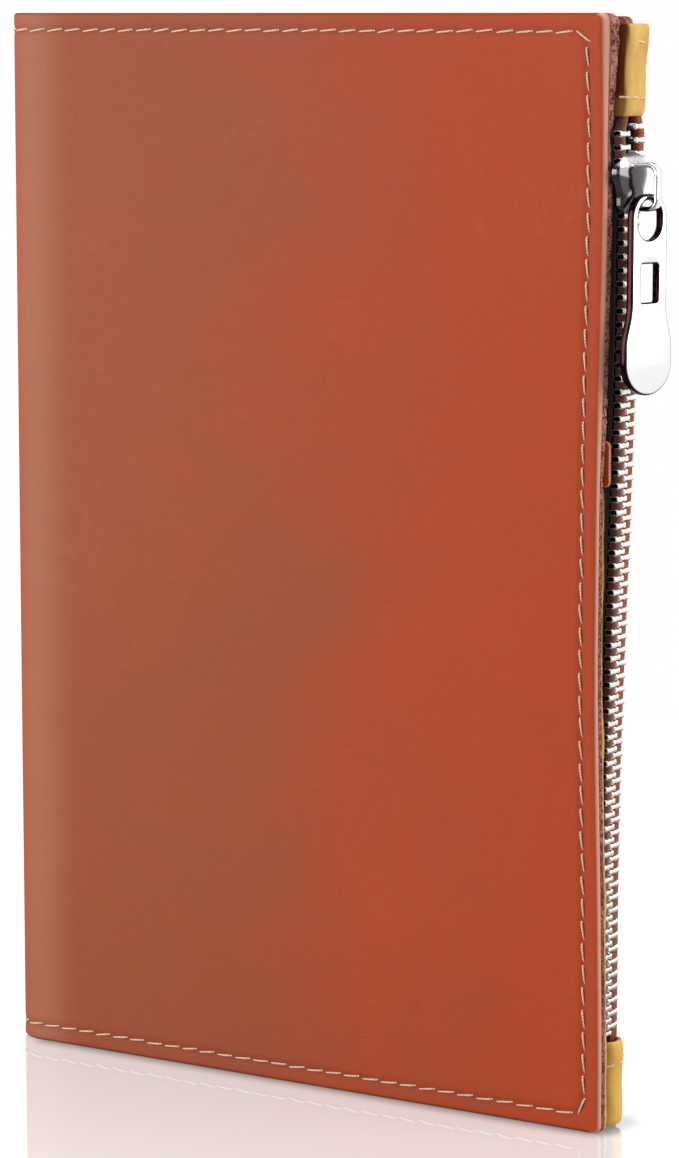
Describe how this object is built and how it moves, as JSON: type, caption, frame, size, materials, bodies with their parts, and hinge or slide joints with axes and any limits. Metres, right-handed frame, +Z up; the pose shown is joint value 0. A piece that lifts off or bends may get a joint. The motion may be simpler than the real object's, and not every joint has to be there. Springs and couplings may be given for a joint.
{
  "type": "travel document wallet",
  "caption": "Upright leather document wallet with a folded spine, pocket panels and a metal zip along its fore edge.",
  "frame": {"origin": "middle of the wallet's extent, at the level of the lower edge that it stands on", "axes": "+Z up, +X from the spine towards the zip, -Y out of the front cover"},
  "size_m": [0.142, 0.0132, 0.205],
  "materials": {
    "rust_leather": "waxed, satin",
    "mustard_leather": "waxed, satin",
    "zip_tape": "woven",
    "zip_teeth": "plated",
    "nickel": "polished",
    "thread": "waxed thread"
  },
  "bodies": {
    "wallet": {"outer_cover": "rust_leather", "front_pocket": "mustard_leather", "pocket_trim": "rust_leather", "back_pocket": "mustard_leather", "back_zip_tape": "zip_tape", "front_zip_tape": "zip_tape", "back_teeth": "zip_teeth", "front_teeth": "zip_teeth", "top_tab": "mustard_leather", "bottom_tab": "mustard_leather", "back_seam": "thread", "front_seam": "thread"},
    "slider": {"slider_body": "nickel", "slider_bail": "nickel"},
    "pull": {"zip_pull": "nickel"}
  },
  "joints": [
    {"name": "zip_slide", "type": "slide", "parent": "wallet", "child": "slider", "axis": [0, 0, -1], "range_m": [-0.005, 0.151], "deforming": ["back_teeth", "front_teeth", "back_zip_tape", "front_zip_tape"]},
    {"name": "pull_swing", "type": "hinge", "parent": "slider", "child": "pull", "pos_m": [0.06853, 0, 0.1724], "axis": [-0.2924, -0.9563, 0], "range_deg": [0, 130]}
  ]
}
